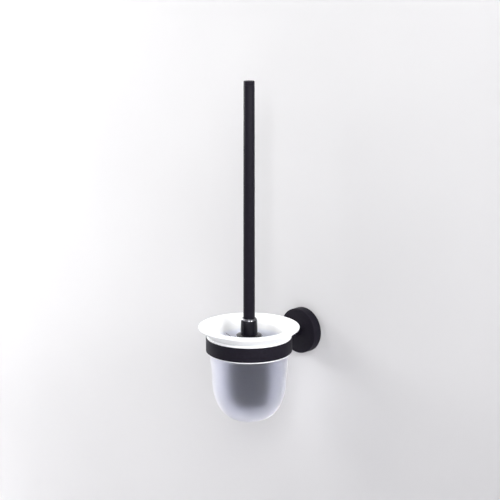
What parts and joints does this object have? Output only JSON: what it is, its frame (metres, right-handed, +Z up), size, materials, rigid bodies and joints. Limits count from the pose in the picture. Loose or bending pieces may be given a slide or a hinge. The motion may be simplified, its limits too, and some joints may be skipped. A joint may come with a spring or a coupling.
{
  "type": "toilet brush holder",
  "caption": "Wall-mounted toilet brush holder: a black rose and arm carry a banded, flared frosted glass cup with a long-handled black brush standing in it.",
  "frame": {"origin": "centre of the wall bracket's flat back face, on the wall plane, level with the axis of the rose and arm", "axes": "+Z up along the brush handle, +Y into the wall, +X along the wall to the right as seen from the front"},
  "size_m": [0.1078, 0.1695, 0.365],
  "materials": {
    "matte_black": "satin-matte black powder coat, very fine orange peel",
    "gloss_black": "polished black moulded plastic",
    "black_plastic": "fine matte moulded black plastic",
    "bristle": "black nylon filament",
    "frosted_glass": "thick clear glass, acid-etched satin on the outside, polished flared lip",
    "milk_plastic": "translucent white moulded plastic",
    "zinc": "die-cast zinc alloy, as cast",
    "steel": "turned stainless steel",
    "nylon": "grey moulded nylon"
  },
  "bodies": {
    "holder": {"wall_bracket": "zinc", "bracket_screw_upper": "steel", "wall_plug_upper": "nylon", "bracket_screw_lower": "steel", "wall_plug_lower": "nylon", "rose": "matte_black", "grub_screw": "steel", "arm": "matte_black", "arm_screw": "steel", "ring_screw": "steel", "ring_band": "matte_black", "ring_liner": "milk_plastic"},
    "cup": {"glass_cup": "frosted_glass"},
    "brush": {"handle_tube": "matte_black", "handle_cap": "matte_black", "handle_insert": "black_plastic", "head_stud": "steel", "collar": "gloss_black", "head_disc": "black_plastic", "brush_core": "black_plastic", "bristle_tip": "bristle", "bristle_row_1": "bristle", "bristle_row_2": "bristle", "bristle_row_3": "bristle", "bristle_row_4": "bristle", "bristle_row_5": "bristle", "bristle_row_6": "bristle", "bristle_row_7": "bristle", "bristle_row_8": "bristle"}
  },
  "joints": [
    {"name": "cup_lift", "type": "slide", "parent": "holder", "child": "cup", "axis": [0, 0, 1], "range_m": [0, 0.1]},
    {"name": "brush_lift", "type": "slide", "parent": "cup", "child": "brush", "axis": [0, 0, 1], "range_m": [0, 0.12]}
  ]
}
